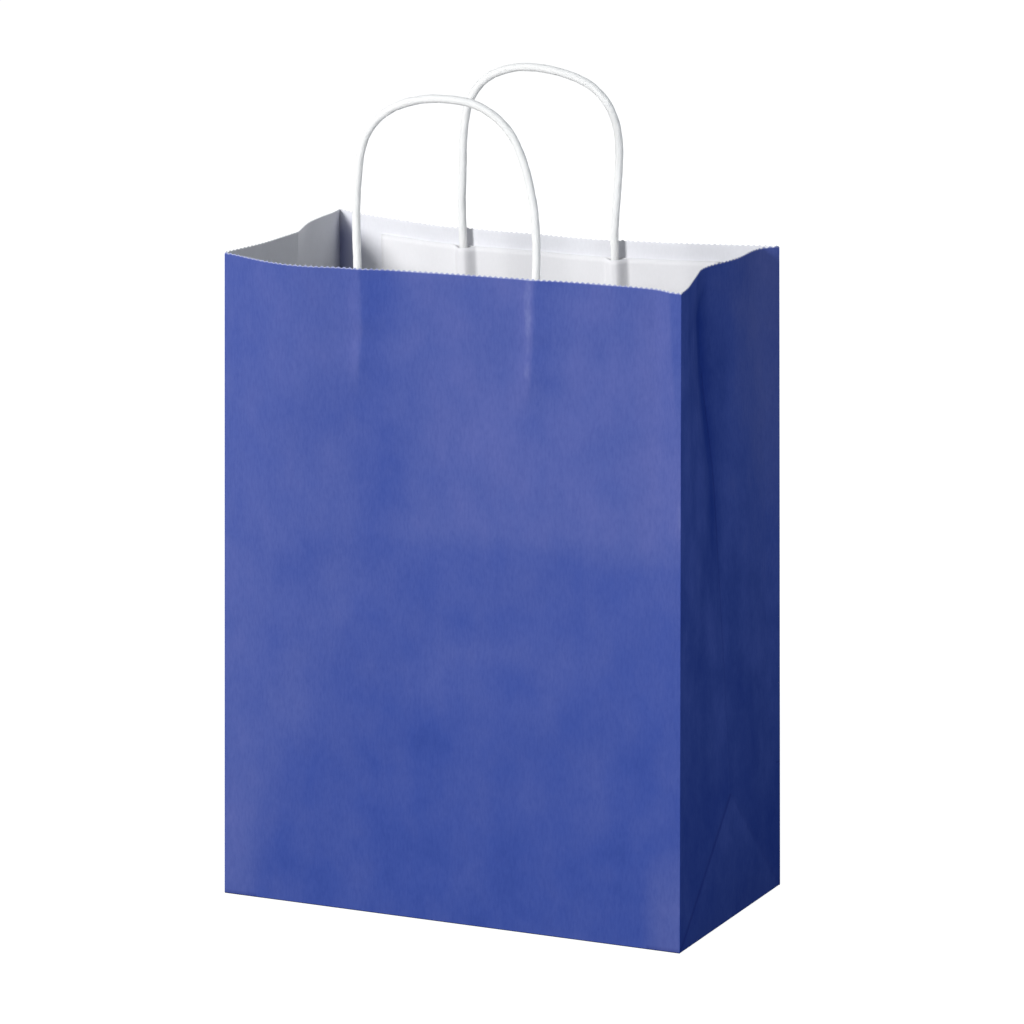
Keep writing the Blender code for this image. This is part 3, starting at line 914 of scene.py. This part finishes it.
def floor_material():
    """White to the camera with a soft shadow, middle grey to everything else."""
    material = bpy.data.materials.new("floor_white")
    material.use_nodes = True
    tree = material.node_tree
    tree.nodes.remove(tree.nodes["Principled BSDF"])
    out = tree.nodes["Material Output"]
    seen = seen_by(tree, "Is Camera Ray", "Is Glossy Ray", "Is Transmission Ray")
    glow = tree.nodes.new("ShaderNodeEmission")
    glow.inputs["Color"].default_value = (1, 1, 1, 1)
    glow.inputs["Strength"].default_value = 0.95
    white = tree.nodes.new("ShaderNodeAddShader")
    tree.links.new(diffuse(tree, 0.25), white.inputs[0])
    tree.links.new(glow.outputs[0], white.inputs[1])
    either = tree.nodes.new("ShaderNodeMixShader")
    tree.links.new(seen, either.inputs[0])
    tree.links.new(diffuse(tree, 0.18), either.inputs[1])
    tree.links.new(white.outputs[0], either.inputs[2])
    tree.links.new(either.outputs[0], out.inputs["Surface"])
    return material


def make_floor():
    bm = bmesh.new()
    bmesh.ops.create_circle(bm, cap_ends=True, segments=64, radius=30.0)
    floor = link_mesh("floor", bm, [floor_material()])
    floor.location.z = -0.0002


def make_world():
    """White behind the object, and a soft light that comes mostly from above."""
    world = bpy.data.worlds.new("studio")
    bpy.context.scene.world = world
    world.use_nodes = True
    tree = world.node_tree
    background = tree.nodes["Background"]
    place = tree.nodes.new("ShaderNodeTexCoord").outputs["Generated"]
    parts = tree.nodes.new("ShaderNodeSeparateXYZ")
    tree.links.new(place, parts.inputs[0])
    ramp = tree.nodes.new("ShaderNodeMapRange")
    ramp.inputs["From Min"].default_value = -0.1
    ramp.inputs["From Max"].default_value = 1.0
    ramp.inputs["To Min"].default_value = 0.10
    ramp.inputs["To Max"].default_value = 0.45
    tree.links.new(parts.outputs["Z"], ramp.inputs["Value"])
    seen = seen_by(tree, "Is Camera Ray", "Is Transmission Ray")
    strength = tree.nodes.new("ShaderNodeMix")
    strength.data_type = "FLOAT"
    tree.links.new(seen, strength.inputs[0])
    tree.links.new(ramp.outputs["Result"], strength.inputs[2])
    strength.inputs[3].default_value = 1.0
    tint = tree.nodes.new("ShaderNodeMix")
    tint.data_type = "RGBA"
    tree.links.new(seen, tint.inputs[0])
    tint.inputs[6].default_value = (*SHADE_TINT, 1)
    tint.inputs[7].default_value = (1, 1, 1, 1)
    tree.links.new(tint.outputs[2], background.inputs["Color"])
    tree.links.new(strength.outputs[0], background.inputs["Strength"])


def aim(obj, target):
    obj.rotation_euler = (target - obj.location).to_track_quat("-Z", "Y").to_euler()


def add_lamp(name, azimuth, elevation, distance, size, power, color, target):
    """An area lamp; azimuth 0 is in front of the bag and grows to the viewer's right."""
    data = bpy.data.lights.new(name, "AREA")
    data.shape = "DISK"
    data.size = size
    data.energy = power
    data.color = color
    lamp = bpy.data.objects.new(name, data)
    a, e = math.radians(azimuth), math.radians(elevation)
    away = Vector((math.sin(a) * math.cos(e), -math.cos(a) * math.cos(e), math.sin(e)))
    lamp.location = target + away * distance
    lamp.visible_camera = False
    bpy.context.scene.collection.objects.link(lamp)
    aim(lamp, target)


def make_camera():
    """The photo's own camera, as fitted to the bag's corners."""
    azimuth, elevation = math.radians(24.514), math.radians(13.266)
    back = Vector((
        math.sin(azimuth) * math.cos(elevation),
        -math.cos(azimuth) * math.cos(elevation),
        math.sin(elevation),
    ))
    right = Vector((math.cos(azimuth), math.sin(azimuth), 0))
    up = back.cross(right)
    data = bpy.data.cameras.new("camera")
    data.sensor_width = 36.0
    data.lens = 36.0 * 6354.0 / 1024.0
    data.clip_end = 100.0
    camera = bpy.data.objects.new("camera", data)
    camera.matrix_world = Matrix((
        (right.x, up.x, back.x, 0),
        (right.y, up.y, back.y, 0),
        (right.z, up.z, back.z, 0),
        (0, 0, 0, 1),
    ))
    camera.location = back * 3.21904 + right * 0.00458 + up * 0.19100
    bpy.context.scene.collection.objects.link(camera)
    bpy.context.scene.camera = camera


def main():
    blue = blue_kraft()
    # The last colour is the painted shade in the back left corner, partly ink showing through the
    # glued overlap.
    inside = white_kraft("inside_kraft_paper", (0.825, 0.826, 0.862), 1.0, (0.33, 0.35, 0.55))
    strip_white = white_kraft("strip_paper", (0.845, 0.838, 0.855), 0.7)
    cord_white = cord_paper("cord_paper", (0.92, 0.913, 0.89))
    sheet = build_sheet("bag_sheet", [blue, inside])
    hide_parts("bag_body")
    bottom = build_bottom("bag_bottom_flaps", [blue, inside])
    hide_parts("bag_body")
    pieces = [sheet, bottom]
    for side, y_side, shape in (("front", -1, FRONT_ARCH), ("back", 1, BACK_ARCH)):
        for kind, is_cover in (("backing", False), ("cover", True)):
            strip = build_strip(f"{side}_{kind}_paper", y_side, is_cover, strip_white)
            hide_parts(f"{side}_{kind}_strip")
            pieces.append(strip)
        cord = build_cord(f"{side}_twisted_cord", y_side, shape, 3.0 + y_side, cord_white)
        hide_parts(f"{side}_handle")
        pieces.append(cord)
    for piece in pieces:
        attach(piece, "root")
    make_floor()
    make_world()
    middle = Vector((0, 0, 0.19))
    add_lamp("key", -21, 20, 2.3, 0.60, 48.0, (1.0, 1.0, 1.0), middle)
    add_lamp("back", 188, 12, 2.3, 0.80, 15.0, (1.0, 1.0, 1.0), middle)
    add_lamp("fill", 72, 5, 0.62, 0.30, 1.3, SHADE_TINT, Vector((BAG_WIDTH / 2, 0, 0.22)))
    make_camera()
    bpy.context.scene.view_settings.view_transform = "Standard"


main()
